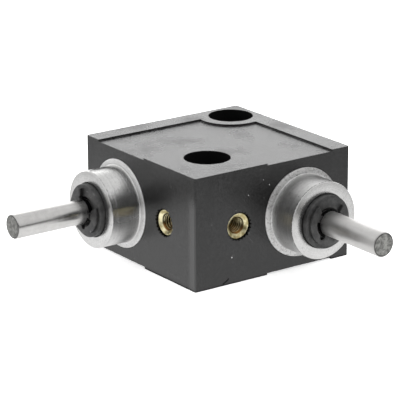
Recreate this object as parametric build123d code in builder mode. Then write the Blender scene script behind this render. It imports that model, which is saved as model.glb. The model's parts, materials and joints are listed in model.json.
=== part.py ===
from build123d import *
import os
from math import acos, cos, pi, radians, sin, sqrt, tan

# Right angle gearbox with two equal mitre gears, in millimetres.
# The origin is the point where the two shaft axes cross. The input shaft leaves
# along +X, the output shaft along -Y, and +Z is up.

# Shafts
shaft_diameter = 6.0
shaft_reach = 22.0  # free length in front of the bearing housing
shaft_chamfer = 0.35
shaft_nose = 1.3  # how far the inner end stands out of its gear

# Mitre gears
gear_teeth = 16
gear_module = 1.0
pressure_angle = 20.0
gear_root_clearance = 0.2
gear_face_width = 3.6
gear_backlash = 0.12
gear_flank_points = 5
gear_cut_overrun = 0.5  # how far the gaps are cut past the ends of the teeth
gear_rim = 1.4  # metal under the tooth roots
gear_hub_diameter = 12.0
gear_hub_length = 4.4
gear_boss_length = 0.5  # the collar that meets the bearing's inner ring
gear_pin_diameter = 1.5
gear_pin_wall = 0.3
gear_pin_slot = 0.25
gear_pin_inset = 0.3

# Ball bearings
bearing_diameter = 13.0
bearing_width = 5.0
ball_diameter = 2.0
ball_count = 8
ball_play = 0.03
race_shoulder = 0.6  # half the gap between the two rings
cage_wall = 0.5
cage_width = 2.7
cage_play = 0.06
shield_thickness = 0.2
shield_inset = 0.15
shield_gap = 0.15

# Bearing housings
hub_reach = 8.6  # barrel in front of the case
hub_fit = 0.03
hub_edge = 0.25
flange_width = 1.55
flange_sink = 1.0  # how deep the flange sits in the case
flange_fit = 0.05
flange_rim = 0.15  # how far the rim stands out of the case
flange_thickness = 0.5  # how far the flange stands out of the case at the barrel
flange_fillet = 0.35
hub_mouth_depth = 1.0
hub_mouth_edge = 0.5
hub_rib = 0.9  # step that each bearing is pushed against
hub_tail = 0.6  # housing behind the rear bearing

# Spacer, shim, washer and clip on each shaft
sleeve_wall = 1.05
sleeve_play = 0.03
shim_length = 0.8
washer_thickness = 1.6
washer_overlap = 0.05  # washer beyond the bearing
washer_gap = 0.35
washer_play = 0.15
washer_edge = 0.15
washer_countersink = 0.5
clip_diameter = 11.1
clip_thickness = 0.8
clip_ring_width = 1.8
clip_play = 0.03
clip_groove_depth = 0.5
clip_mouth_width = 4.1
clip_mouth_flare = 30.0  # slope of each side of the mouth
clip_prong_width = 1.8
clip_end_prong = 70.0  # from the middle of the mouth to each end prong
clip_relief_radius = 0.75
clip_relief_angle = 28.0  # from the middle prong to the relief on each side of it
clip_turn = {"input": -98.0, "output": 62.0}  # where each mouth points

# Case
gear_clearance = 0.86  # between the gear's teeth and the bore
bore_floor_gap = 1.2  # between the shaft's inner end and the floor of its bore
hole_diameter = 11.3
hole_wall = 3.75  # between the near hole and the bores
far_hole_wall = 1.4  # between the far hole and the back faces
back_wall = 4.95  # between the bores and the back faces
flange_margin = 2.9  # case above and below the flanges
case_corner = 0.5
panel_depth = 0.45
border_width = 5.3
boss_wall = 2.7
pad_margin = 3.0

# Threaded inserts
insert_diameter = 6.3
insert_length = 5.0
insert_sink = 0.5
insert_inset = 0.2  # from the line through the near hole towards the hub
insert_floor_gap = 0.1
insert_wall = 1.3  # case between the insert's pocket and the near hole
insert_bore = 3.3
insert_mouth = 5.0
insert_waist_depth = 0.4
insert_waist_width = 0.9
insert_mouth_gap = 0.2  # wider mouth of the pocket
insert_mouth_lead = 0.4  # how far the wider mouth reaches past the insert's front

# The two sides, each named after its shaft
outward = {"input": Vector(1, 0, 0), "output": Vector(0, -1, 0)}
other_side = {"input": "output", "output": "input"}

# Gear geometry, along the axis from the apex and out from it
shaft_radius = shaft_diameter / 2
pitch_radius = gear_module * gear_teeth / 2
cone = 1 / sqrt(2)  # sine and cosine of the 45 degree pitch cone
cone_distance = pitch_radius / cone
toe_scale = (cone_distance - gear_face_width) / cone_distance
addendum = gear_module
dedendum = gear_module + gear_root_clearance
gear_tip_radius = pitch_radius + addendum * cone
gear_tip_place = pitch_radius - addendum * cone
heel_base_radius = pitch_radius - (dedendum + gear_rim) * cone
heel_base = pitch_radius + (dedendum + gear_rim) * cone
toe_base_radius = pitch_radius * toe_scale - (dedendum * toe_scale + gear_rim / 2) * cone
toe_base = pitch_radius * toe_scale + (dedendum * toe_scale + gear_rim / 2) * cone
gear_hub_end = heel_base + gear_hub_length
gear_back = gear_hub_end + gear_boss_length
gear_pin_place = heel_base + gear_hub_length / 2
gear_turn = {"input": 180 / gear_teeth, "output": 0}  # half a tooth puts the two in mesh

# Bearing geometry
bearing_radius = bearing_diameter / 2
race_radius = (shaft_radius + bearing_radius) / 2
ball_radius = ball_diameter / 2
groove_radius = ball_radius + ball_play
inner_shoulder = race_radius - race_shoulder
outer_shoulder = race_radius + race_shoulder

# Case and housing geometry
bore_radius = gear_tip_radius + gear_clearance
hub_radius = bore_radius - hub_fit
flange_radius = hub_radius + flange_width
hole_radius = hole_diameter / 2
near_hole = bore_radius + hole_wall + hole_radius
back_reach = bore_radius + back_wall
far_hole = back_reach - far_hole_wall - hole_radius
insert_place = near_hole - insert_inset
insert_radius = insert_diameter / 2
insert_pocket_depth = insert_sink + insert_length + insert_floor_gap
face_reach = near_hole + hole_radius + insert_wall + insert_pocket_depth
case_height = 2 * (flange_radius + flange_margin)
case_side = face_reach + back_reach
case_centre = (face_reach - back_reach) / 2
shaft_inner_end = toe_base - shaft_nose
bore_floor = shaft_inner_end - bore_floor_gap

# Places along each shaft, from the crossing of the axes outward
hub_front = face_reach + hub_reach
front_bearing = hub_front - hub_mouth_depth - bearing_width / 2
rear_bearing = gear_back + bearing_width / 2
hub_tail_end = gear_back - hub_tail
washer_back = front_bearing + bearing_width / 2 + shim_length
clip_back = washer_back + washer_thickness
shaft_outer_end = hub_front + shaft_reach
washer_radius = bearing_radius + washer_overlap
mouth_radius = washer_radius + washer_gap
groove_bottom = shaft_radius - clip_groove_depth


def section_plane(side):
    """The plane through a shaft axis: x along the shaft outward, y away from it."""
    return Plane(origin=(0, 0, 0), x_dir=outward[side], z_dir=outward[other_side[side]])


def cross_plane(side, distance, turn=0):
    """The plane square to a shaft at a distance, with x turned from the other shaft's side."""
    across = outward[other_side[side]].rotate(shaft_axis(side), turn)
    return Plane(origin=outward[side] * distance, x_dir=across, z_dir=outward[side])


def pin_plane(side):
    """The plane square to a gear's pin, through the pin's middle."""
    return Plane(origin=outward[side] * gear_pin_place, x_dir=outward[side], z_dir=(0, 0, 1))


def shaft_axis(side):
    """The axis of a shaft."""
    return Axis((0, 0, 0), outward[side])


def save(piece, name):
    """Labels a finished piece and writes it."""
    piece.part.label = name
    export_step(piece.part, f"parts/{name}.step")


def turned(side, outline):
    """A piece turned about a shaft axis, from points of (distance, radius)."""
    with BuildPart() as piece:
        with BuildSketch(section_plane(side)):
            with BuildLine():
                Polyline(*outline, close=True)
            make_face()
        revolve(axis=shaft_axis(side))
    return piece


def bearing_ring(side, middle, low_radius, high_radius):
    """A bearing ring with its ball groove, between two radii."""
    with BuildPart() as ring:
        with BuildSketch(section_plane(side)):
            with Locations((middle, (low_radius + high_radius) / 2)):
                Rectangle(bearing_width, high_radius - low_radius)
            with Locations((middle, race_radius)):
                Circle(groove_radius, mode=Mode.SUBTRACT)
        revolve(axis=shaft_axis(side))
    return ring


def ball_bearing(side, place, middle):
    """Writes the five pieces of one bearing whose middle is at a distance."""
    save(bearing_ring(side, middle, outer_shoulder, bearing_radius), f"{side}_{place}_outer_ring")
    save(bearing_ring(side, middle, shaft_radius, inner_shoulder), f"{side}_{place}_inner_ring")

    with BuildPart(cross_plane(side, middle)) as balls:
        with PolarLocations(race_radius, ball_count):
            Sphere(ball_radius)
    save(balls, f"{side}_{place}_balls")

    with BuildPart(cross_plane(side, middle)) as cage:
        with BuildSketch(cross_plane(side, middle)):
            Circle(race_radius + cage_wall / 2)
            Circle(race_radius - cage_wall / 2, mode=Mode.SUBTRACT)
        extrude(amount=cage_width / 2, both=True)
        with PolarLocations(race_radius, ball_count):
            Cylinder(ball_radius + cage_play, 2 * cage_wall, rotation=(0, 90, 0), mode=Mode.SUBTRACT)
    save(cage, f"{side}_{place}_cage")

    with BuildPart() as shields:
        for way in (-1, 1):
            shield = middle + way * (bearing_width / 2 - shield_inset - shield_thickness / 2)
            with BuildSketch(cross_plane(side, shield)):
                Circle(outer_shoulder)
                Circle(inner_shoulder + shield_gap, mode=Mode.SUBTRACT)
            extrude(amount=shield_thickness / 2, both=True)
    save(shields, f"{side}_{place}_shields")


def involute(radius, base_radius):
    """The involute function of the pressure angle at a radius."""
    angle = acos(min(1, base_radius / radius))
    return tan(angle) - angle


def tooth_gap_outline(scale):
    """The two flanks and the root of the gap between two teeth, on the back cone laid flat."""
    # The back cone laid flat is a spur gear whose pitch radius is the cone distance
    base_radius = cone_distance * cos(radians(pressure_angle))
    top_radius = cone_distance + addendum + gear_rim
    half_gap = (pi * gear_module / 2 + gear_backlash) / 2 / cone_distance
    pitch_turn = involute(cone_distance, base_radius)

    def place(radius, turn):
        return (radius * sin(turn) * scale, (radius * cos(turn) - cone_distance) * scale)

    flanks = {}
    for way in (-1, 1):
        steps = [point / (gear_flank_points - 1) for point in range(gear_flank_points)]
        radii = [base_radius + (top_radius - base_radius) * step**1.5 for step in steps]
        turns = [half_gap + involute(radius, base_radius) - pitch_turn for radius in radii]
        flanks[way] = [place(radius, way * turn) for radius, turn in zip(radii, turns)]
    root = [place(cone_distance - dedendum, way * (half_gap - pitch_turn)) for way in (-1, 1)]
    return flanks[-1], root, flanks[1]


def mitre_gear():
    """One mitre gear about the Z axis with its apex at the origin and a gap towards +X."""
    overrun = gear_cut_overrun / cone_distance
    with BuildPart() as tooth_gap:
        for scale in (1 + overrun, toe_scale - overrun):
            left_flank, root, right_flank = tooth_gap_outline(scale)
            middle = (pitch_radius * scale, 0, pitch_radius * scale)
            with BuildSketch(Plane(origin=middle, x_dir=(0, -1, 0), z_dir=(1, 0, 1))):
                with BuildLine():
                    Spline(*left_flank)
                    Polyline(left_flank[0], *root, right_flank[0])
                    Spline(*right_flank)
                    Line(right_flank[-1], left_flank[-1])
                make_face()
        loft(ruled=True)

    with BuildPart() as gear:
        with BuildSketch(Plane.XZ):
            with BuildLine():
                Polyline(
                    (shaft_radius, toe_base),
                    (toe_base_radius, toe_base),
                    (gear_tip_radius * toe_scale, gear_tip_place * toe_scale),
                    (gear_tip_radius, gear_tip_place),
                    (heel_base_radius, heel_base),
                    (gear_hub_diameter / 2, heel_base),
                    (gear_hub_diameter / 2, gear_hub_end),
                    (inner_shoulder, gear_hub_end),
                    (inner_shoulder, gear_back),
                    (shaft_radius, gear_back),
                    close=True,
                )
            make_face()
        revolve(axis=Axis.Z)
        with PolarLocations(0, gear_teeth):
            add(tooth_gap.part, mode=Mode.SUBTRACT)
    return gear


os.makedirs("parts", exist_ok=True)

# Case, moulded in one piece
with BuildPart() as gear_case:
    with BuildSketch(Plane.XY.offset(-case_height / 2)):
        with Locations((case_centre, -case_centre)):
            RectangleRounded(case_side, case_side, case_corner)
    extrude(amount=case_height)

    # A sunk panel in the top and the bottom leaves two borders, a boss and a pad
    panel_side = case_side - border_width
    panel_centre = face_reach - panel_side / 2
    pad_side = face_reach - near_hole + hole_radius + pad_margin
    pad_centre = face_reach - pad_side / 2
    for height in (-case_height / 2, case_height / 2 - panel_depth):
        with BuildSketch(Plane.XY.offset(height)):
            with Locations((panel_centre, -panel_centre)):
                Rectangle(panel_side, panel_side)
            with Locations((pad_centre, -pad_centre)):
                Rectangle(pad_side, pad_side, mode=Mode.SUBTRACT)
            with Locations((-far_hole, far_hole)):
                Circle(hole_radius + boss_wall, mode=Mode.SUBTRACT)
        extrude(amount=panel_depth, mode=Mode.SUBTRACT)

    # Two mounting holes straight through
    with BuildSketch(Plane.XY.offset(-case_height / 2)):
        with Locations((near_hole, -near_hole), (-far_hole, far_hole)):
            Circle(hole_radius)
    extrude(amount=case_height, mode=Mode.SUBTRACT)

    # A stepped bore for each bearing housing, and a stepped pocket for each insert
    mouth_gap_depth = insert_sink + insert_mouth_lead
    for side in outward:
        for place, radius, depth in (
            (0, bore_radius, face_reach - bore_floor),
            (0, flange_radius + flange_fit, flange_sink),
            (insert_place, insert_radius, insert_pocket_depth),
            (insert_place, insert_radius + insert_mouth_gap, mouth_gap_depth),
        ):
            with BuildSketch(cross_plane(side, face_reach)):
                with Locations((place, 0)):
                    Circle(radius)
            extrude(amount=-depth, mode=Mode.SUBTRACT)
save(gear_case, "gear_case")

# Threaded inserts, one in each hub face
insert_front = face_reach - insert_sink
insert_back = insert_front - insert_length
insert_countersink = (insert_mouth - insert_bore) / 2
waist_middle = insert_front - insert_length / 2
with BuildPart() as threaded_inserts:
    for side in outward:
        with BuildSketch(section_plane(side).offset(insert_place)):
            with BuildLine():
                Polyline(
                    (insert_back, insert_bore / 2),
                    (insert_back, insert_radius),
                    (waist_middle - insert_waist_width / 2, insert_radius),
                    (waist_middle - insert_waist_width / 2, insert_radius - insert_waist_depth),
                    (waist_middle + insert_waist_width / 2, insert_radius - insert_waist_depth),
                    (waist_middle + insert_waist_width / 2, insert_radius),
                    (insert_front, insert_radius),
                    (insert_front, insert_mouth / 2),
                    (insert_front - insert_countersink, insert_bore / 2),
                    close=True,
                )
            make_face()
        revolve(axis=Axis(outward[other_side[side]] * insert_place, outward[side]))
save(threaded_inserts, "threaded_inserts")

gear_blank = mitre_gear()

for side in outward:
    # Bearing housing: a barrel with a stepped bore and a flange sunk into the case
    rib_radius = bearing_radius - hub_rib
    flange_front = face_reach + flange_thickness
    with BuildPart() as bearing_housing:
        with BuildSketch(section_plane(side)):
            with BuildLine():
                Polyline(
                    (flange_front + flange_fillet, hub_radius),
                    (hub_front - hub_edge, hub_radius),
                    (hub_front, hub_radius - hub_edge),
                    (hub_front, mouth_radius + hub_mouth_edge),
                    (hub_front - hub_mouth_edge, mouth_radius),
                    (hub_front - hub_mouth_depth, mouth_radius),
                    (hub_front - hub_mouth_depth, bearing_radius),
                    (front_bearing - bearing_width / 2, bearing_radius),
                    (front_bearing - bearing_width / 2, rib_radius),
                    (rear_bearing + bearing_width / 2, rib_radius),
                    (rear_bearing + bearing_width / 2, bearing_radius),
                    (hub_tail_end, bearing_radius),
                    (hub_tail_end, hub_radius),
                    (face_reach - flange_sink, hub_radius),
                    (face_reach - flange_sink, flange_radius),
                    (face_reach + flange_rim, flange_radius),
                    (flange_front, hub_radius + flange_fillet),
                )
                CenterArc(
                    (flange_front + flange_fillet, hub_radius + flange_fillet),
                    flange_fillet,
                    start_angle=180,
                    arc_size=90,
                )
            make_face()
        revolve(axis=shaft_axis(side))
    save(bearing_housing, f"{side}_bearing_housing")

    ball_bearing(side, "front", front_bearing)
    ball_bearing(side, "rear", rear_bearing)

    # Shaft with the clip's groove and the pin's hole
    clip_front = clip_back + clip_thickness
    bar = turned(
        side,
        [
            (shaft_inner_end, 0),
            (shaft_inner_end, shaft_radius - shaft_chamfer),
            (shaft_inner_end + shaft_chamfer, shaft_radius),
            (clip_back, shaft_radius),
            (clip_back, groove_bottom),
            (clip_front + clip_play, groove_bottom),
            (clip_front + clip_play, shaft_radius),
            (shaft_outer_end - shaft_chamfer, shaft_radius),
            (shaft_outer_end, shaft_radius - shaft_chamfer),
            (shaft_outer_end, 0),
        ],
    )
    with BuildPart() as shaft:
        add(bar.part)
        with BuildSketch(pin_plane(side)):
            Circle(gear_pin_diameter / 2)
        extrude(amount=shaft_diameter, both=True, mode=Mode.SUBTRACT)
    save(shaft, f"{side}_shaft")

    # Mitre gear: a tooth of the input gear stands in a gap of the output gear
    with BuildPart(cross_plane(side, 0, gear_turn[side])) as gear:
        add(gear_blank.part)
        with BuildSketch(pin_plane(side)):
            Circle(gear_pin_diameter / 2)
        extrude(amount=gear_hub_diameter, both=True, mode=Mode.SUBTRACT)
    save(gear, f"{side}_gear")

    # Spring pin through the gear's hub and the shaft
    with BuildPart() as gear_pin:
        with BuildSketch(pin_plane(side)):
            Circle(gear_pin_diameter / 2)
            Circle(gear_pin_diameter / 2 - gear_pin_wall, mode=Mode.SUBTRACT)
            with Locations((gear_pin_diameter / 2, 0)):
                Rectangle(gear_pin_diameter, gear_pin_slot, mode=Mode.SUBTRACT)
        extrude(amount=gear_hub_diameter / 2 - gear_pin_inset, both=True)
    save(gear_pin, f"{side}_gear_pin")

    # Sleeve between the two inner rings, and the shim under the washer
    sleeve_bore = shaft_radius + sleeve_play
    sleeve_radius = shaft_radius + sleeve_wall
    for name, start, end in (
        ("spacer_sleeve", rear_bearing + bearing_width / 2, front_bearing - bearing_width / 2),
        ("shim", washer_back - shim_length, washer_back),
    ):
        outline = [(start, sleeve_bore), (start, sleeve_radius), (end, sleeve_radius), (end, sleeve_bore)]
        save(turned(side, outline), f"{side}_{name}")

    # Washer with a countersunk bore
    washer_bore = shaft_radius + washer_play
    washer = turned(
        side,
        [
            (washer_back, washer_bore),
            (washer_back, washer_radius),
            (clip_back - washer_edge, washer_radius),
            (clip_back, washer_radius - washer_edge),
            (clip_back, washer_bore + washer_countersink),
            (clip_back - washer_countersink, washer_bore),
        ],
    )
    save(washer, f"{side}_washer")

    # Retaining clip: a ring with a flared mouth and three prongs that reach into the groove
    clip_radius = clip_diameter / 2
    lobe_radius = clip_radius - clip_ring_width
    prong_middle = (groove_bottom + lobe_radius) / 2
    mouth_half = clip_mouth_width / 2
    mouth_start = sqrt(groove_bottom**2 - mouth_half**2)
    mouth_end = mouth_start + clip_radius
    mouth_end_half = mouth_half + clip_radius * tan(radians(clip_mouth_flare))
    with BuildPart() as clip:
        with BuildSketch(cross_plane(side, clip_back, clip_turn[side])):
            Circle(clip_radius)
            Circle(lobe_radius, mode=Mode.SUBTRACT)
            for turn in (180 - clip_relief_angle, 180 + clip_relief_angle):
                with PolarLocations(lobe_radius, 1, start_angle=turn):
                    Circle(clip_relief_radius, mode=Mode.SUBTRACT)
            for turn in (180, clip_end_prong, -clip_end_prong):
                with PolarLocations(prong_middle, 1, start_angle=turn):
                    Rectangle(lobe_radius - groove_bottom + clip_ring_width, clip_prong_width)
            Circle(groove_bottom, mode=Mode.SUBTRACT)
            with BuildLine():
                Polyline(
                    (0, mouth_half),
                    (mouth_start, mouth_half),
                    (mouth_end, mouth_end_half),
                    (mouth_end, -mouth_end_half),
                    (mouth_start, -mouth_half),
                    (0, -mouth_half),
                    close=True,
                )
            make_face(mode=Mode.SUBTRACT)
        extrude(amount=clip_thickness)
    save(clip, f"{side}_clip")
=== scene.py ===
import json
from math import acos, ceil, cos, radians, sin, tau

import bmesh
import bpy
from mathutils import Matrix, Vector, noise


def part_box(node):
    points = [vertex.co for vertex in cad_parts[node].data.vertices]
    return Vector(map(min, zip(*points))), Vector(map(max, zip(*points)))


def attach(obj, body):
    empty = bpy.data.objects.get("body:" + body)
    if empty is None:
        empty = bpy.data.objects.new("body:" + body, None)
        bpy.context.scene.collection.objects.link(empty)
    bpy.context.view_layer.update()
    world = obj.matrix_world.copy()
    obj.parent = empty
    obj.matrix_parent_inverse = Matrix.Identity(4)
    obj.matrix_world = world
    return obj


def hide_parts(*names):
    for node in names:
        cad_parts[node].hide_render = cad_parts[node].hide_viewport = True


# Right angle gearbox. Sizes are in millimetres, and MM turns them into the frame's metres.
MM = 0.001

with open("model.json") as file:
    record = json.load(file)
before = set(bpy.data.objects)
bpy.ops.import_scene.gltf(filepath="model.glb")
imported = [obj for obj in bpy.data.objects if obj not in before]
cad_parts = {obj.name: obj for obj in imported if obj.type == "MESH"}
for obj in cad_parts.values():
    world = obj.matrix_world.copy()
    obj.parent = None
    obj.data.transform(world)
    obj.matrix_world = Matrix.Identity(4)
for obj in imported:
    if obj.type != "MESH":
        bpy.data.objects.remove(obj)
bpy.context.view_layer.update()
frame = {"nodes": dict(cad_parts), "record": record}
scene = bpy.context.scene

# A fixed seed, because the noise vectors along the case's edges would otherwise differ on each run
NOISE_SEED = 5
noise.seed_set(NOISE_SEED)

# Each side is named after its shaft: the way it leaves, and the way towards the other hub
OUTWARD = {"input": Vector((1, 0, 0)), "output": Vector((0, -1, 0))}
ACROSS = {"input": Vector((0, -1, 0)), "output": Vector((1, 0, 0))}
UP = Vector((0, 0, 1))


def along(node, end):
    """How far a node of the input side starts (0) or ends (1) along its shaft, in mm."""
    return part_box(node)[end].x / MM


def radius_of(node):
    """The largest radius of a node about its shaft, in mm."""
    low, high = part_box(node)
    return (high.z - low.z) / 2 / MM


# Sizes read from the frame
CASE_LOW, CASE_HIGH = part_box("gear_case")
FACE = CASE_HIGH.x / MM
HUB_FRONT = along("input_bearing_housing", 1)
HUB_TAIL = along("input_bearing_housing", 0)
FLANGE_RADIUS = radius_of("input_bearing_housing")
SHAFT_START = along("input_shaft", 0)
SHAFT_END = along("input_shaft", 1)
SHAFT_RADIUS = radius_of("input_shaft")
WASHER_START = along("input_washer", 0)
WASHER_END = along("input_washer", 1)
WASHER_RADIUS = radius_of("input_washer")
CLIP_START = along("input_clip", 0)
CLIP_END = along("input_clip", 1)
BEARING_RADIUS = radius_of("input_front_outer_ring")
INSERT_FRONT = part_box("threaded_inserts")[1].x / MM
mounts = {mount["name"]: mount for mount in frame["record"]["mounts"]}
INSERT_CENTRE = -mounts["input_face_thread"]["pos_m"][1] / MM

# Sizes of the hubs, shafts, clips and washers that the frame doesn't give
FLANGE_WIDTH = 1.55
BARREL_RADIUS = FLANGE_RADIUS - FLANGE_WIDTH
FLANGE_SINK = 1.0  # how deep the flange sits in the case
FLANGE_RIM = 0.15  # how far its rim stands out of the case
FLANGE_STAND = 0.5  # how far it stands out of the case at the barrel
FLANGE_FILLET = 0.35
EDGE_GROOVE = 0.28  # from the hub's front to the fine groove round its barrel
MOUTH_RADIUS = WASHER_RADIUS + 0.04
MOUTH_DEPTH = 1.0
MOUTH_EDGE = 0.3
INNER_CHAMFER = 0.35
OUTER_CHAMFER = 0.22
CLIP_GROOVE_DEPTH = 0.5
CLIP_PLAY = 0.03
CLIP_EDGE = 0.09
WASHER_PLAY = 0.15
WASHER_COUNTERSINK = 0.5

# Sizes of the brass inserts that the frame doesn't give
INSERT_RADIUS = 3.15
INSERT_LENGTH = 5.0
INSERT_MOUTH = 2.9
INSERT_SLOPE = 1.45  # how fast the conical mouth narrows
INSERT_WEAR = 0.07
THREAD_PITCH = 0.7
THREAD_CREST = 1.72
THREAD_ROOT = 2.06
CREST_WIDTH = 1.6  # 1 for pointed crests, more for flat ones
KNURL_INSET = 0.4  # from the insert's front to the middle of the knurl's teeth
KNURL_TEETH = {
    "Count": 30,
    "Radius": 3.12 * MM,
    "Size": (0.4 * MM, 0.26 * MM, 0.7 * MM),
    "Least": 0.6,
    "Seed": 4,
}
POCKET_NOTCHES = {
    "Count": 24,
    "Radius": 3.32 * MM,
    "Size": (0.72 * MM, 0.4 * MM, 1.5 * MM),
    "Least": 0.6,
    "Seed": 7,
}

# Finishes that differ between the two sides
EDGE_LINE = {"input": 0.9, "output": 0.3}  # how dark the line behind each barrel's front edge is
FLANGE_GRIT = {"input": 0.4, "output": 0.08}  # how dark the flecks on each flange are
BARREL_ROUGHNESS = {"input": 0.29, "output": 0.16}
STEEL_ROUGHNESS = {"input": 0.33, "output": 0.19}
SAWN_TONE = {"input": 1.5, "output": 1.08}  # how pale each shaft's cut end is

# Marks of wear, placed on the hub faces
CHIPS = ((20.9, -7.34, 0.22), (9.84, 8.68, 0.16), (16.02, 7.17, 0.14), (11.6, 10.2, 0.1))  # across, up, size
GOUGE = ("input", (23.5, -13.5), (21.9, -12.58), 0.3)  # side, start, end, width
SCUFFS = (("input", (16.0, -3.3), (14.65, -4.85), 0.14), ("output", (20.2, -11.9), (24.9, -12.4), 0.14))
HUB_NICK = (31.9, 1.97, 9.55)  # outward, across and up on the input side's flange
HUB_NICK_SIZE = 0.26


def at(side, outward, across, up):
    """A point of a hub, from millimetres along its shaft, towards the other hub and up."""
    return (OUTWARD[side] * outward + ACROSS[side] * across + UP * up) * MM


class Value:
    """A wrapped socket whose operators add Math nodes."""

    def __init__(self, shader, socket):
        self.shader, self.socket = shader, socket

    def math(self, operation, *others):
        return self.shader.node("ShaderNodeMath", {"operation": operation}, [self, *others])

    def __add__(self, other):
        return self.math("ADD", other)

    def __mul__(self, other):
        return self.math("MULTIPLY", other)

    def __sub__(self, other):
        return self.math("SUBTRACT", other)

    def __rsub__(self, other):
        return self.shader.node("ShaderNodeMath", {"operation": "SUBTRACT"}, [other, self])

    __radd__, __rmul__ = __add__, __mul__

    def above(self, low, high):
        """0 below low, 1 above high, and smooth between."""
        settings = {"interpolation_type": "SMOOTHSTEP"}
        inputs = {"Value": self, "From Min": low, "From Max": high}
        return self.shader.node("ShaderNodeMapRange", settings, inputs)

    def within(self, low, high, edge):
        """1 from low to high, fading over an edge on both sides."""
        return self.above(low - edge, low) * (1 - self.above(high, high + edge))


class Shader:
    """A material's node tree, with one method that adds any node."""

    def __init__(self, name):
        self.material = bpy.data.materials.new(name)
        self.material.use_nodes = True
        self.tree = self.material.node_tree
        self.surface = self.tree.nodes["Principled BSDF"]

    def node(self, kind, settings, inputs, output=0):
        added = self.tree.nodes.new(kind)
        for key, value in settings.items():
            setattr(added, key, value)
        for key, value in inputs.items() if isinstance(inputs, dict) else enumerate(inputs):
            self.feed(added.inputs[key], value)
        return Value(self, added.outputs[output])

    def feed(self, socket, value):
        if isinstance(value, Value):
            self.tree.links.new(value.socket, socket)
        else:
            socket.default_value = value

    def set(self, **sockets):
        for key, value in sockets.items():
            self.feed(self.surface.inputs[key.replace("_", " ")], value)

    def place(self):
        return self.node("ShaderNodeTexCoord", {}, {}, "Object")

    def vector(self, operation, *inputs, output=0):
        return self.node("ShaderNodeVectorMath", {"operation": operation}, inputs, output)

    def parts(self, vector):
        return [self.node("ShaderNodeSeparateXYZ", {}, [vector], part) for part in range(3)]

    def noise(self, vector, scale, detail=2.0, roughness=0.5):
        inputs = {"Vector": vector, "Scale": scale, "Detail": detail, "Roughness": roughness}
        return self.node("ShaderNodeTexNoise", {}, inputs)

    def mix(self, factor, first, second):
        return self.node("ShaderNodeMix", {"data_type": "RGBA"}, {0: factor, 6: first, 7: second}, 2)

    def bump(self, height, distance, strength, *below):
        inputs = {"Height": height, "Distance": distance, "Strength": strength}
        if below:
            inputs["Normal"] = below[0]
        return self.node("ShaderNodeBump", {}, inputs)

    def spot(self, place, centre, size):
        """1 round a centre, and 0 past a distance in mm from it."""
        core = 0.6 * size
        away = self.vector("DISTANCE", place, centre, output="Value")
        return 1 - away.above(core * MM, size * MM)

    def stroke(self, place, start, end, width):
        """1 along a straight scratch from start to end, with its width in mm, and 0 beside it."""
        core, edge = 0.3 * width, 0.7 * width
        reach = Vector(end) - Vector(start)
        offset = self.vector("SUBTRACT", place, start)
        share = self.vector("DOT_PRODUCT", offset, reach / reach.length_squared, output="Value")
        share = share.math("MAXIMUM", 0.0).math("MINIMUM", 1.0)
        nearest = self.vector("SCALE", reach)
        self.feed(nearest.socket.node.inputs["Scale"], share)
        away = self.vector("DISTANCE", offset, nearest, output="Value")
        return 1 - away.above(core * MM, edge * MM)

    def about_shaft(self, side):
        """The distance along a shaft and out from it, and both as a pattern's place."""
        parts = self.parts(self.place())
        reach, aside = (parts[0], parts[1]) if side == "input" else (parts[1] * -1.0, parts[0])
        out = (aside * aside + parts[2] * parts[2]).math("SQRT")
        return reach, out, self.node("ShaderNodeCombineXYZ", {}, [reach, out, 0.0])


def grey(level, tint=(1, 1, 1)):
    """A grey or lightly tinted colour."""
    return tuple(level * part for part in tint) + (1,)


def moulded_plastic():
    """Black glass-filled nylon: fine grain, uneven gloss, pale chips, a painted reflection paler low by the
    near corner, scuffs and a gouge.
    """
    skin = 0.2  # depth under the output side's face that takes the painted reflection
    reflection_width, reflection_fade, reflection_height, reflection_top = 1.4, 2.0, 6.0, 10.0
    top_depth, top_fade = 0.6, 0.3
    shader = Shader("moulded_plastic")
    place = shader.place()
    east, north, height = shader.parts(place)

    def scratch(side, start, end, width):
        return shader.stroke(place, at(side, FACE, *start), at(side, FACE, *end), width)

    cloud = shader.noise(place, 70, 4)
    flow = shader.noise(shader.vector("MULTIPLY", place, (1, 1, 0.15)), 260, 3)
    grain = shader.noise(place, 2400, 3, 0.65)
    speck = shader.noise(place, 1100, 1).above(0.785, 0.8)
    patch = shader.noise(place, 95, 3, 0.6).above(0.45, 0.7)
    tone = cloud * 0.5 + flow * 0.5
    # Masks of the painted reflection: near the output side's face, near its corner and low down
    front = 1 - north.above(-(FACE - skin) * MM, -(FACE - 2 * skin) * MM)
    corner = east.above((FACE - reflection_width - reflection_fade) * MM, (FACE - reflection_width) * MM)
    low = 1 - height.above(reflection_height * MM, reflection_top * MM)
    top = height.above(CASE_HIGH.z - (top_depth + top_fade) * MM, CASE_HIGH.z - top_depth * MM)
    gouge = scratch(*GOUGE)

    base = shader.mix(grain.above(0.42, 0.58), grey(0.001), grey(0.017, (1, 1, 1.02)))
    base = shader.mix(tone.above(0.4, 0.6) * 0.6, base, grey(0.004))
    base = shader.mix(speck * 0.5, base, grey(0.14))
    # Painted reflection: the output side's face is paler low down near the corner
    base = shader.mix(front * corner * low, base, grey(0.045))
    for across, up, size in CHIPS:
        base = shader.mix(shader.spot(place, at("input", FACE, across, up), size), base, grey(0.5))
    for scuff in SCUFFS:
        base = shader.mix(scratch(*scuff) * 0.5, base, grey(0.06))
    base = shader.mix(gouge, base, grey(0.001))
    roughness = 0.12 + patch * 0.08 + grain * 0.08 + top * (0.08 + patch * 0.04) + gouge * 0.6
    pits = shader.bump(grain, 0.0001, 0.6)
    waves = shader.bump(cloud, 0.0006, 0.08, pits)
    scored = shader.bump(gouge, -0.0005, 1.0, waves)
    shader.set(Base_Color=base, Roughness=roughness, Normal=scored, IOR=1.55)
    return shader.material


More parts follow.
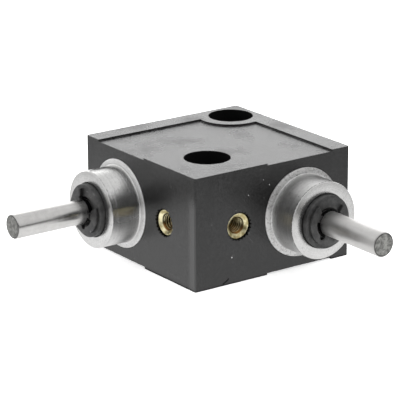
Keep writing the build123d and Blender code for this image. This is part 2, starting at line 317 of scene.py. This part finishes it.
def shaded_bore():
    """Painted shade inside the mounting holes: the same nylon made darker, dull and nearly free of gloss."""
    shader = Shader("shaded_bore")
    cloud = shader.noise(shader.place(), 500, 3)
    base = shader.mix(cloud, grey(0.002), grey(0.005))
    shader.set(Base_Color=base, Roughness=0.7 + cloud * 0.2, Specular_IOR_Level=0.08)
    return shader.material


def turned_aluminium(side):
    """Turned aluminium: lathe rings on faces and barrel, cloudy, with small dark flecks, and painted shade in
    the mouth.
    """
    faced_roughness = 0.16
    flange_end, groove = FACE + FLANGE_STAND, HUB_FRONT - EDGE_GROOVE
    shader = Shader(f"turned_aluminium_{side}")
    place = shader.place()
    reach, out, rings = shader.about_shaft(side)
    fine = shader.noise(rings, 8000, 2, 0.7)
    broad = shader.noise(rings, 1500, 2)
    cloud = shader.noise(place, 210, 4, 0.6)
    grit = shader.noise(place, 1900, 2, 0.7)
    flange = 1 - reach.above((flange_end - 0.05) * MM, (flange_end + 0.25) * MM)
    tone = (fine * 0.3 + broad * 0.25 + cloud * 0.45).above(0.3, 0.7)
    line = reach.within((groove - 0.14) * MM, (groove - 0.02) * MM, 0.05 * MM)
    # Painted shade: near black inside the mouth round the washer
    inside = 1 - out.above((MOUTH_RADIUS + 0.01) * MM, (MOUTH_RADIUS + 0.05) * MM)
    base = shader.mix(tone, grey(0.6, (1, 0.995, 0.985)), grey(0.74, (1, 0.998, 0.99)))
    base = shader.mix(grit.above(0.5, 0.62) * flange * FLANGE_GRIT[side], base, grey(0.22))
    base = shader.mix(grit.above(0.45, 0.6) * 0.12, base, grey(0.3))
    base = shader.mix(grit.above(0.7, 0.73) * 0.6, base, grey(0.12))
    base = shader.mix(line * grit.above(0.35, 0.55) * EDGE_LINE[side], base, grey(0.05))
    base = shader.mix(inside, base, grey(0.015))
    if side == "input":
        base = shader.mix(shader.spot(place, at(side, *HUB_NICK), HUB_NICK_SIZE), base, grey(0.02))
    low = 1 - shader.parts(place)[2].above(-5 * MM, 0.5 * MM)
    dull = cloud * 0.1 + fine * 0.05 + flange * 0.06 + inside * 0.3
    barrel = out.above((BARREL_RADIUS - 0.3) * MM, (BARREL_RADIUS - 0.1) * MM)
    roughness = faced_roughness + barrel * (BARREL_ROUGHNESS[side] - faced_roughness + low * 0.16) + dull
    cuts = shader.bump(fine, 0.00003, 0.6)
    marks = shader.bump(broad + flange * broad * 2.0, 0.00002, 0.4, cuts)
    shader.set(Base_Color=base, Metallic=1.0, Roughness=roughness, Normal=marks)
    return shader.material


def ground_steel(side):
    """Ground steel bar: faint rings, drawn streaks, painted shade in the clip groove and a dull cut end."""
    shader = Shader(f"ground_steel_{side}")
    place = shader.place()
    reach, out, rings = shader.about_shaft(side)
    grind = shader.noise(rings, 6000, 3, 0.7)
    along_bar = (1, 40, 40) if side == "input" else (40, 1, 40)
    drawn = shader.noise(shader.vector("MULTIPLY", place, along_bar), 30, 2)
    cloud = shader.noise(place, 500, 4, 0.65)
    mottle = shader.noise(place, 900, 3, 0.7)
    end = reach.above((SHAFT_END - 0.1) * MM, (SHAFT_END - 0.02) * MM)
    rim = end * out.above((SHAFT_RADIUS - 0.55) * MM, (SHAFT_RADIUS - 0.35) * MM)
    # Painted shade: the shaft's groove under the clip is near black
    groove_shade = reach.within((CLIP_START - 0.1) * MM, (CLIP_END + 0.12) * MM, 0.12 * MM)
    tone = (grind * 0.3 + drawn * 0.35 + cloud * 0.35).above(0.3, 0.7)
    base = shader.mix(tone, grey(0.54, (1, 0.985, 0.965)), grey(0.66, (1, 0.99, 0.975)))
    dark, pale = (grey(level * SAWN_TONE[side], (1, 1, 0.96)) for level in (0.16, 0.36))
    base = shader.mix(end, base, shader.mix(mottle.above(0.35, 0.65), dark, pale))
    base = shader.mix(rim * 0.7, base, grey(0.06))
    base = shader.mix(groove_shade, base, grey(0.015))
    roughness = STEEL_ROUGHNESS[side] + grind * 0.06 + cloud * 0.05 + end * 0.25 + groove_shade * 0.3
    scratches = shader.bump(grind * 0.6 + mottle * end * 2.0, 0.00002, 0.45)
    shader.set(Base_Color=base, Metallic=1.0, Roughness=roughness, Normal=scratches)
    return shader.material


def blackened_steel():
    """Blackened spring steel: dark oil finish, rubbed paler in places, with a few scratches."""
    shader = Shader("blackened_steel")
    place = shader.place()
    cloud = shader.noise(place, 420, 4, 0.6)
    grain = shader.noise(place, 4000, 2)
    scratch = shader.noise(shader.vector("MULTIPLY", place, (1, 5, 1)), 1100, 2).above(0.7, 0.75)
    base = shader.mix(cloud.above(0.35, 0.7), grey(0.055), grey(0.11, (1, 1, 0.99)))
    base = shader.mix(scratch * 0.5, base, grey(0.35))
    roughness = 0.34 + cloud * 0.14 + grain * 0.1
    shader.set(Base_Color=base, Metallic=0.7, Roughness=roughness, Normal=shader.bump(grain, 0.00002, 0.4))
    return shader.material


def insert_brass():
    """Turned brass: pale yellow front, brown tarnish and painted light in the thread, painted shade on the
    knurl.
    """
    shader = Shader("insert_brass")
    place = shader.place()
    cloud = shader.noise(place, 900, 3)
    fine = shader.noise(place, 5000, 2)
    base = shader.mix(cloud.above(0.35, 0.65), (0.45, 0.38, 0.19, 1), (0.92, 0.85, 0.56, 1))
    east, north, height = shader.parts(place)
    # Painted light: the thread's tarnish is orange-brown low in the bore and near black higher up
    low = 1 - height.above(-1.4 * MM, -0.2 * MM)
    tarnish_and_light = shader.mix(low, (0.02, 0.011, 0.002, 1), (0.2, 0.09, 0.02, 1))
    thread_start = (INSERT_MOUTH - THREAD_ROOT) / INSERT_SLOPE

    def deeper(outward, depth, fade):
        return 1 - outward.above((INSERT_FRONT - depth - fade) * MM, (INSERT_FRONT - depth) * MM)

    for outward, across in ((east, north), (north * -1.0, east * -1.0)):
        aside = across + INSERT_CENTRE * MM
        out = (aside * aside + height * height).math("SQRT")
        insert = 1 - deeper(outward, INSERT_LENGTH, 1)
        inside = 1 - out.above((THREAD_ROOT + 0.08) * MM, (THREAD_ROOT + 0.18) * MM)
        outside = out.above((INSERT_RADIUS - 0.12) * MM, (INSERT_RADIUS - 0.07) * MM)
        groove = out.above((THREAD_CREST + 0.02) * MM, (THREAD_CREST + 0.1) * MM)
        bore = insert * inside * deeper(outward, thread_start - 0.13, 0.17)
        knurl = insert * outside * deeper(outward, 0.02, 0.03)
        # Painted shade: the bore darkens deeper in
        base = shader.mix(bore * deeper(outward, 1.4, 2.0) * 0.3, base, (0.3, 0.2, 0.08, 1))
        base = shader.mix(bore * groove * 0.98, base, tarnish_and_light)
        # Painted shade: the knurl in the pocket's gap is dark olive
        base = shader.mix(knurl * 0.95, base, (0.12, 0.105, 0.035, 1))
    roughness = 0.2 + cloud * 0.12 + fine * 0.1
    shader.set(Base_Color=base, Metallic=1.0, Roughness=roughness, Normal=shader.bump(fine, 0.00001, 0.5))
    return shader.material


def plain_steel(name, level, rough, tint=(1, 1, 1)):
    """Steel of the hidden pieces: cloudy tone and a fine ground grain."""
    shader = Shader(name)
    place = shader.place()
    cloud = shader.noise(place, 600, 4, 0.6)
    grain = shader.noise(place, 6000, 2)
    base = shader.mix(cloud.above(0.3, 0.7), grey(level * 0.8, tint), grey(level * 1.15, tint))
    roughness = rough + cloud * 0.1 + grain * 0.1
    shader.set(Base_Color=base, Metallic=1.0, Roughness=roughness, Normal=shader.bump(grain, 0.00001, 0.4))
    return shader.material


def cage_nylon():
    """Natural nylon of the ball cages."""
    shader = Shader("cage_nylon")
    cloud = shader.noise(shader.place(), 900, 3)
    base = shader.mix(cloud, (0.62, 0.55, 0.4, 1), (0.78, 0.72, 0.56, 1))
    shader.set(Base_Color=base, Roughness=0.42 + cloud * 0.12, Normal=shader.bump(cloud, 0.00003, 0.3))
    return shader.material


def linked(name, mesh):
    """An object of the scene with a mesh, lamp or camera, at the origin."""
    thing = bpy.data.objects.new(name, mesh)
    scene.collection.objects.link(thing)
    return thing


def applied(holder, name):
    """The plain mesh that an object's modifiers make, after which the object goes."""
    depsgraph = bpy.context.evaluated_depsgraph_get()
    mesh = bpy.data.meshes.new_from_object(holder.evaluated_get(depsgraph))
    holder.modifiers.clear()
    bpy.data.objects.remove(holder)
    mesh.name = name
    return mesh


def finished(name, mesh, material, body, slot, *replaced, crease=35):
    """Links a finished mesh as a piece: smooth faces, sharp creases, its material and body. Its slot is not
    used.
    """
    piece = linked(name, mesh)
    mesh.materials.clear()
    mesh.materials.append(material)
    mesh.shade_smooth()
    mesh.set_sharp_from_angle(angle=radians(crease))
    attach(piece, body)
    if replaced:
        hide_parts(*replaced)
    return piece


def mesh_of(name, bm):
    """A bmesh as a mesh whose faces point outwards."""
    bmesh.ops.recalc_face_normals(bm, faces=bm.faces)
    mesh = bpy.data.meshes.new(name)
    bm.to_mesh(mesh)
    bm.free()
    return mesh


def rounded(corners, steps=4):
    """A closed outline of (x, y) from corners of (x, y, rounding)."""
    outline = []
    for number, (x, y, rounding) in enumerate(corners):
        corner = Vector((x, y))
        if rounding == 0:
            outline.append(corner)
            continue
        before = (Vector(corners[number - 1][:2]) - corner).normalized()
        after = (Vector(corners[(number + 1) % len(corners)][:2]) - corner).normalized()
        half = acos(max(-1, min(1, before.dot(after)))) / 2
        cut = rounding * cos(half) / sin(half)
        centre = corner + (before + after).normalized() * (rounding / sin(half))
        start = corner + before * cut - centre
        turn = start.angle_signed(corner + after * cut - centre)
        for step in range(steps + 1):
            outline.append(centre + Matrix.Rotation(-turn * step / steps, 2) @ start)
    return outline


def bridged(bm, rings):
    """Adds the faces between each ring of vertices and the next, and from the last to the first."""
    for first, second in zip(rings, rings[1:] + rings[:1]):
        for step in range(len(first)):
            corners = list(dict.fromkeys([first[step], first[step - 1], second[step - 1], second[step]]))
            if len(corners) > 2:
                bm.faces.new(corners)


def lathe(side, outline, wobble=0.0, around=256):
    """A bmesh turned about a shaft from a closed outline of (along, radius) in mm."""
    bm = bmesh.new()
    ripples, drift, on_axis = 6, 0.3, 1e-6
    rings = []
    for number, (reach, radius) in enumerate(outline):
        if radius < on_axis:
            rings.append([bm.verts.new(at(side, reach, 0, 0))] * around)
            continue
        ring = []
        for step in range(around):
            turn = tau * step / around
            ripple = noise.noise(Vector((cos(turn) * ripples, sin(turn) * ripples, number * drift)))
            spread = radius + wobble * ripple
            ring.append(bm.verts.new(at(side, reach, spread * cos(turn), spread * sin(turn))))
        rings.append(ring)
    bridged(bm, rings)
    return bm


def hub_mesh(side):
    """The barrel with its sunk, tapered flange, a fine groove behind its front edge and a soft mouth."""
    flange_front = FACE + FLANGE_STAND
    groove, groove_half, groove_depth = HUB_FRONT - EDGE_GROOVE, 0.06, 0.05
    corners = [
        (HUB_FRONT - MOUTH_DEPTH, BEARING_RADIUS, 0),
        (HUB_TAIL, BEARING_RADIUS, 0.05),
        (HUB_TAIL, BARREL_RADIUS, 0.2),
        (FACE - FLANGE_SINK, BARREL_RADIUS, 0),
        (FACE - FLANGE_SINK, FLANGE_RADIUS, 0.1),
        (FACE + FLANGE_RIM, FLANGE_RADIUS, 0.12),
        (flange_front, BARREL_RADIUS + FLANGE_FILLET + 0.2, 0.1),
        (flange_front, BARREL_RADIUS, FLANGE_FILLET),
        (groove - groove_half, BARREL_RADIUS, 0),
        (groove, BARREL_RADIUS - groove_depth, 0),
        (groove + groove_half, BARREL_RADIUS - 0.01, 0),
        (HUB_FRONT, BARREL_RADIUS - 0.1, 0.16),
        (HUB_FRONT, MOUTH_RADIUS, MOUTH_EDGE),
        (HUB_FRONT - MOUTH_DEPTH, MOUTH_RADIUS, 0.05),
    ]
    return mesh_of(f"{side}_hub_turned", lathe(side, rounded(corners), wobble=0.008))


def shaft_mesh(side):
    """The bar with its chamfered ends and the clip's groove."""
    groove = SHAFT_RADIUS - CLIP_GROOVE_DEPTH
    corners = [
        (SHAFT_START, 0, 0),
        (SHAFT_START, SHAFT_RADIUS - INNER_CHAMFER, 0.05),
        (SHAFT_START + INNER_CHAMFER, SHAFT_RADIUS, 0.05),
        (CLIP_START, SHAFT_RADIUS, 0.03),
        (CLIP_START, groove, 0.03),
        (CLIP_END + CLIP_PLAY, groove, 0.03),
        (CLIP_END + CLIP_PLAY, SHAFT_RADIUS, 0.03),
        (SHAFT_END - OUTER_CHAMFER, SHAFT_RADIUS, 0.1),
        (SHAFT_END, SHAFT_RADIUS - OUTER_CHAMFER, 0.08),
        (SHAFT_END, 0, 0),
    ]
    return mesh_of(f"{side}_shaft_ground", lathe(side, rounded(corners), around=160))


def washer_mesh(side):
    """The washer with rounded rim and a countersunk bore."""
    bore = SHAFT_RADIUS + WASHER_PLAY
    corners = [
        (WASHER_START, bore, 0.03),
        (WASHER_START, WASHER_RADIUS, 0.1),
        (WASHER_END, WASHER_RADIUS, 0.18),
        (WASHER_END, bore + WASHER_COUNTERSINK, 0.08),
        (WASHER_END - WASHER_COUNTERSINK, bore, 0.05),
    ]
    return mesh_of(f"{side}_washer_turned", lathe(side, rounded(corners), wobble=0.01))


def welded_copy(node):
    """A bmesh of a CAD node with its loose triangles joined and its flat faces merged."""
    bm = bmesh.new()
    bm.from_mesh(frame["nodes"][node].data)
    bmesh.ops.remove_doubles(bm, verts=bm.verts, dist=1e-6)
    bmesh.ops.dissolve_limit(bm, angle_limit=radians(0.5), verts=bm.verts, edges=bm.edges)
    return bm


def clip_mesh(side):
    """The stamped E-clip, its edges softened by a Bevel modifier."""
    name = f"{side}_clip_stamped"
    holder = linked(name + "_blank", mesh_of(name, welded_copy(f"{side}_clip")))
    bevel = holder.modifiers.new("edges", "BEVEL")
    bevel.width, bevel.segments = CLIP_EDGE * MM, 2
    bevel.limit_method, bevel.angle_limit = "ANGLE", radians(30)
    bevel.use_clamp_overlap = True
    return applied(holder, name)


def without(mesh, cutter):
    """A mesh with a cutter's shape taken out of it."""
    whole, tool = (linked(part.name + "_blank", part) for part in (mesh, cutter))
    cut = whole.modifiers.new("cut", "BOOLEAN")
    cut.operation, cut.solver, cut.object = "DIFFERENCE", "EXACT", tool
    made = applied(whole, mesh.name)
    bpy.data.objects.remove(tool)
    return made


def sharp_edges(bm):
    """The edges where two faces of a bmesh meet at a corner."""
    return [e for e in bm.edges if len(e.link_faces) == 2 and e.calc_face_angle(0) > radians(60)]


def case_mesh():
    """The moulded case, with a narrow uneven chamfer on every edge and notched insert pockets."""
    longest, chamfer, wander, least_face = 0.8 * MM, 0.07 * MM, 0.12 * MM, 4 * MM * MM
    waves_per_mm = 1.1
    bm = welded_copy("gear_case")
    for edge in [e for e in sharp_edges(bm) if e.calc_length() > 2 * longest]:
        bmesh.ops.subdivide_edges(bm, edges=[edge], cuts=ceil(edge.calc_length() / longest) - 1)
    bmesh.ops.bevel(bm, geom=sharp_edges(bm), offset=chamfer, segments=1, affect="EDGES", clamp_overlap=True)

    # Each corner of a chamfer wanders within the flat face beside it, and none leaves the CAD box
    for vert in bm.verts:
        widest = max(vert.link_faces, key=lambda face: face.calc_area())
        if widest.calc_area() > least_face:
            shift = noise.noise_vector(vert.co / MM * waves_per_mm) * wander
            vert.co += shift - widest.normal * shift.dot(widest.normal)
    for vert in bm.verts:
        vert.co = [max(low, min(high, part)) for low, high, part in zip(CASE_LOW, CASE_HIGH, vert.co)]
    mesh = mesh_of("case_moulded", bm)
    for side in OUTWARD:
        mesh = without(mesh, round_teeth(f"{side}_notches", side, FACE, POCKET_NOTCHES))
    return mesh


def in_mounting_hole(place):
    """Whether a place of the case, in mm, is on the wall of a mounting hole, under its edge."""
    slack, edge = 0.05, 0.12
    for name in ("near_mounting_hole", "far_mounting_hole"):
        hole = mounts[name]
        away = Vector(hole["pos_m"][:2]) / MM - place.xy
        if away.length < hole["dims"]["r_mm"] + slack and abs(place.z) < CASE_HIGH.z / MM - edge:
            return True
    return False


def thread_radius(depth, turn):
    """The radius of the insert's thread at a depth from its front and a turn."""
    phase = (depth / THREAD_PITCH + turn / tau) % 1
    return THREAD_ROOT - (THREAD_ROOT - THREAD_CREST) * min(1, CREST_WIDTH * (1 - abs(2 * phase - 1)))


def insert_mesh():
    """Both brass inserts: threaded bore, conical mouth with a worn lip, and chamfered outer edges."""
    around, rows, ripples = 96, 84, 2.5
    turns = [tau * step / around for step in range(around)]
    rim = [Vector((cos(turn) * ripples, sin(turn) * ripples, 3)) for turn in turns]
    worn = [INSERT_WEAR * noise.noise(place) for place in rim]
    profile = []
    for row in range(rows + 1):
        depth = INSERT_LENGTH * row / rows
        cone = INSERT_MOUTH - depth * INSERT_SLOPE
        radii = [max(thread_radius(depth, turn), cone + wear) for turn, wear in zip(turns, worn)]
        profile.append((depth, radii))
    outside = INSERT_RADIUS - 0.05
    for depth, radius in (
        (INSERT_LENGTH, outside - 0.2),
        (INSERT_LENGTH - 0.2, outside),
        (0.06, outside),
        (0, outside - 0.06),
    ):
        profile.append((depth, [radius] * around))

    bm = bmesh.new()
    for side in OUTWARD:
        rings = []
        for depth, radii in profile:
            ring = []
            for turn, radius in zip(turns, radii):
                across, up = INSERT_CENTRE + radius * cos(turn), radius * sin(turn)
                ring.append(bm.verts.new(at(side, INSERT_FRONT - depth, across, up)))
            rings.append(ring)
        bridged(bm, rings)
    return mesh_of("brass_inserts", bm)


def knurl_tree():
    """Geometry Nodes: teeth of uneven size on a circle, each turned to face outwards."""
    tree = bpy.data.node_groups.new("knurl", "GeometryNodeTree")
    sockets = {}
    for label, kind in (
        ("Count", "NodeSocketInt"),
        ("Radius", "NodeSocketFloat"),
        ("Size", "NodeSocketVector"),
        ("Least", "NodeSocketFloat"),
        ("Seed", "NodeSocketInt"),
        ("Material", "NodeSocketMaterial"),
    ):
        sockets[label] = tree.interface.new_socket(label, in_out="INPUT", socket_type=kind).identifier
    tree.interface.new_socket("Geometry", in_out="OUTPUT", socket_type="NodeSocketGeometry")

    def node(kind, settings, inputs):
        added = tree.nodes.new(kind)
        for key, value in settings.items():
            setattr(added, key, value)
        for key, value in inputs.items():
            if isinstance(value, bpy.types.NodeSocket):
                tree.links.new(value, added.inputs[key])
            else:
                added.inputs[key].default_value = value
        return added.outputs

    given = tree.nodes.new("NodeGroupInput").outputs
    circle = node("GeometryNodeMeshCircle", {}, {"Vertices": given["Count"], "Radius": given["Radius"]})
    tooth = node("GeometryNodeMeshCube", {}, {"Size": given["Size"]})
    place = node("GeometryNodeInputPosition", {}, {})
    turn = node("FunctionNodeAlignRotationToVector", {"axis": "X"}, {"Vector": place[0]})
    size = node("FunctionNodeRandomValue", {"data_type": "FLOAT"}, {
        2: given["Least"], 3: 1.0, "Seed": given["Seed"]})
    teeth = node("GeometryNodeInstanceOnPoints", {}, {
        "Points": circle[0], "Instance": tooth["Mesh"], "Rotation": turn[0], "Scale": size[1]})
    real = node("GeometryNodeRealizeInstances", {}, {0: teeth[0]})
    painted = node("GeometryNodeSetMaterial", {}, {"Geometry": real[0], "Material": given["Material"]})
    node("NodeGroupOutput", {}, {0: painted[0]})
    return tree, sockets


def repeated(name, tree, sockets, values):
    """The plain mesh that a Geometry Nodes tree makes from its named values."""
    holder = linked(name + "_blank", bpy.data.meshes.new(name + "_blank"))
    modifier = holder.modifiers.new("repeat", "NODES")
    modifier.node_group = tree
    for label, value in values.items():
        modifier[sockets[label]] = value
    return applied(holder, name)


def round_teeth(name, side, front, sizes):
    """The teeth that the knurl tree makes round an insert, with their middle at a place along it."""
    mesh = repeated(name, *knurl, {"Material": brass, **sizes})
    turn = OUTWARD[side].to_track_quat("Z", "Y").to_matrix().to_4x4()
    mesh.transform(Matrix.Translation(at(side, front, INSERT_CENTRE, 0)) @ turn)
    return mesh


# The case and its inserts, with the knurl that shows in the mouth of each pocket
plastic = moulded_plastic()
brass = insert_brass()
knurl = knurl_tree()
case = finished("case_moulded", case_mesh(), plastic, "root", "moulded_case", "gear_case", crease=0)
# Painted shade: the walls of the mounting holes take the darker, nearly glossless nylon
case.data.materials.append(shaded_bore())
for face in case.data.polygons:
    if in_mounting_hole(face.center / MM):
        face.material_index = 1
finished("brass_inserts", insert_mesh(), brass, "root", "insert_brass", "threaded_inserts")
for side in OUTWARD:
    teeth = round_teeth(f"{side}_insert_knurl", side, INSERT_FRONT - KNURL_INSET, KNURL_TEETH)
    finished(f"{side}_insert_knurl", teeth, brass, "root", "insert_brass")

# Hubs, shafts, washers and clips
blackened = blackened_steel()
for side in OUTWARD:
    body = f"{side}_shaft_group"
    aluminium, steel = turned_aluminium(side), ground_steel(side)
    for piece, shape, material, rides_on, slot, replaced in (
        ("hub_turned", hub_mesh, aluminium, "root", "housing_aluminium", "bearing_housing"),
        ("shaft_ground", shaft_mesh, steel, body, "shaft_steel", "shaft"),
        ("washer_turned", washer_mesh, blackened, body, "blackened_steel", "washer"),
        ("clip_stamped", clip_mesh, blackened, body, "blackened_steel", "clip"),
    ):
        finished(f"{side}_{piece}", shape(side), material, rides_on, slot, f"{side}_{replaced}")

# The inner pieces keep their CAD shape
bearing_steel = plain_steel("bearing_steel", 0.62, 0.14)
turned_steel = plain_steel("turned_steel", 0.5, 0.24)
inner_finish = {
    "gear": plain_steel("gear_steel", 0.4, 0.28, (1, 0.98, 0.95)),
    "gear_pin": turned_steel,
    "spacer_sleeve": turned_steel,
    "shim": turned_steel,
    "shields": turned_steel,
    "balls": bearing_steel,
    "outer_ring": bearing_steel,
    "inner_ring": bearing_steel,
    "cage": cage_nylon(),
}
for name, node in frame["nodes"].items():
    for ending, material in inner_finish.items():
        if name.endswith("_" + ending):
            node.data.materials.clear()
            node.data.materials.append(material)

# Camera, fitted to the edges and circles of the photograph, in degrees, metres and millimetres of lens
CAMERA_AZIMUTH = 54.411
CAMERA_ELEVATION = 17.846
CAMERA_DISTANCE = 0.56097
CAMERA_TARGET = Vector((0.009492, -0.014334, 0))
CAMERA_ROLL = -0.268
CAMERA_LENS = 206.35

# Studio, in metres and watts: a pale floor, white surroundings, soft lamps, and a grey tent that only
# shows in gloss
FLOOR_RADIUS = 2.5
FLOOR_GLOW = 0.65  # what the floor adds for the camera alone
PAPER_LEVEL = 1.08  # how bright the floor is in gloss, near the object
PAPER_FADE = (0.05, 0.14)  # between these distances it falls off
PAPER_LOSS = 0.38  # and by this much
TENT_RADIUS = 0.35
DIFFUSE_WORLD = 0.6
LAMPS = {  # place, size and power
    "lamp_above": ((-0.15, 0.25, 0.62), 0.7, 5.0),
    "lamp_left": ((-0.35, -0.55, 0.35), 0.45, 2.0),
    "lamp_right": ((0.6, 0.1, 0.4), 0.45, 1.6),
}


def towards(azimuth, elevation):
    """The direction from the object to an azimuth and elevation in degrees."""
    azimuth, elevation = radians(azimuth), radians(elevation)
    return Vector((sin(azimuth) * cos(elevation), -cos(azimuth) * cos(elevation), sin(elevation)))


def staged(name, bm, material):
    """A stage object from a bmesh."""
    mesh = bpy.data.meshes.new(name)
    bm.to_mesh(mesh)
    bm.free()
    mesh.materials.append(material)
    thing = linked(name, mesh)
    return thing


def floor_material():
    """Pale floor: white to the camera, and in gloss a bright sheet, dark under the case and fading away."""
    shader = Shader("pale_floor")
    shader.set(Base_Color=grey(0.82), Roughness=0.75)
    east, north, _ = shader.parts(shader.place())
    covered = east.within(CASE_LOW.x, CASE_HIGH.x, MM) * north.within(CASE_LOW.y, CASE_HIGH.y, MM)
    seen, gloss, through = (
        shader.node("ShaderNodeLightPath", {}, {}, f"Is {name} Ray")
        for name in ("Camera", "Glossy", "Transmission")
    )
    lit = Value(shader, shader.surface.outputs[0])
    glow = shader.node("ShaderNodeEmission", {}, {"Color": grey(1), "Strength": seen * FLOOR_GLOW})
    away = (east * east + north * north).math("SQRT")
    level = PAPER_LEVEL - away.above(*PAPER_FADE) * PAPER_LOSS
    paper = shader.node("ShaderNodeEmission", {}, {"Color": grey(1), "Strength": level * (1 - covered)})
    both = shader.node("ShaderNodeAddShader", {}, [lit, glow])
    shown = shader.node("ShaderNodeMixShader", {}, [gloss + through, both, paper])
    shader.feed(shader.tree.nodes["Material Output"].inputs["Surface"], shown)
    return shader.material


def tent_material():
    """The tent's brightness by direction.

    Dark low down and grey above, dimmer towards the camera, and pale behind the object and at its left.
    """
    shader = Shader("grey_tent")
    direction = shader.vector("NORMALIZE", shader.place())
    height = shader.parts(direction)[2]

    def share(way, low, high):
        return shader.vector("DOT_PRODUCT", direction, way, output="Value").above(low, high)

    back = share(-towards(CAMERA_AZIMUTH, 0), 0.45, 0.8)
    left = share(Vector((-0.6, -0.8, 0)), 0.6, 0.8)
    facing = share(towards(CAMERA_AZIMUTH, CAMERA_ELEVATION), 0.8, 0.95)
    side_level = 0.03 + height.above(0.1, 0.3) * 0.85 * (1 - facing * 0.7)
    back_level = 2.0 - height.above(0.4, 0.8) * 1.1
    left_level = 0.95
    level = side_level * (1 - back) * (1 - left) + back_level * back + left * left_level
    light = shader.node("ShaderNodeEmission", {}, {"Color": grey(1), "Strength": level})
    shader.feed(shader.tree.nodes["Material Output"].inputs["Surface"], light)
    return shader.material


def world_background():
    """White for the camera and in gloss, and a plain level as light."""
    world = bpy.data.worlds.new("surroundings")
    scene.world = world
    world.use_nodes = True
    nodes, links = world.node_tree.nodes, world.node_tree.links
    path = nodes.new("ShaderNodeLightPath")
    shown = path.outputs["Is Camera Ray"]
    for kind in ("Is Glossy Ray", "Is Transmission Ray"):
        total = nodes.new("ShaderNodeMath")
        links.new(shown, total.inputs[0])
        links.new(path.outputs[kind], total.inputs[1])
        shown = total.outputs[0]
    strength = nodes.new("ShaderNodeMapRange")
    strength.inputs["To Min"].default_value = DIFFUSE_WORLD
    links.new(shown, strength.inputs["Value"])
    nodes["Background"].inputs["Color"].default_value = grey(1)
    links.new(strength.outputs[0], nodes["Background"].inputs["Strength"])


def studio():
    """Places the floor, the tent, the surroundings and the lamps."""
    bm = bmesh.new()
    bmesh.ops.create_circle(bm, cap_ends=True, segments=96, radius=FLOOR_RADIUS)
    bmesh.ops.translate(bm, verts=bm.verts, vec=(0, 0, CASE_LOW.z))
    staged("floor", bm, floor_material())

    bm = bmesh.new()
    bmesh.ops.create_uvsphere(bm, u_segments=96, v_segments=48, radius=TENT_RADIUS)
    under_floor = [vert for vert in bm.verts if vert.co.z < CASE_LOW.z - 2 * MM]
    bmesh.ops.delete(bm, geom=under_floor, context="VERTS")
    tent = staged("grey_tent", bm, tent_material())
    tent.visible_camera = tent.visible_diffuse = tent.visible_shadow = tent.visible_transmission = False

    world_background()
    for name, (place, size, power) in LAMPS.items():
        lamp = linked(name, bpy.data.lights.new(name, "AREA"))
        lamp.data.shape, lamp.data.size, lamp.data.energy = "DISK", size, power
        lamp.location = place
        lamp.rotation_euler = (-Vector(place)).to_track_quat("-Z", "Y").to_euler()
        lamp.visible_glossy = lamp.visible_camera = False


def make_camera():
    """The camera at the photograph's viewing angle."""
    azimuth, roll = radians(CAMERA_AZIMUTH), radians(CAMERA_ROLL)
    back = towards(CAMERA_AZIMUTH, CAMERA_ELEVATION)
    right = Vector((cos(azimuth), sin(azimuth), 0))
    up = back.cross(right)
    turned_right = right * cos(roll) + up * sin(roll)
    turned_up = up * cos(roll) - right * sin(roll)
    camera = linked("camera", bpy.data.cameras.new("camera"))
    camera.data.lens = CAMERA_LENS
    camera.data.clip_start, camera.data.clip_end = 0.01, 10
    axes = Matrix((turned_right, turned_up, back)).transposed().to_4x4()
    camera.matrix_world = Matrix.Translation(CAMERA_TARGET + back * CAMERA_DISTANCE) @ axes
    scene.camera = camera


studio()
make_camera()
scene.view_settings.view_transform = "Standard"
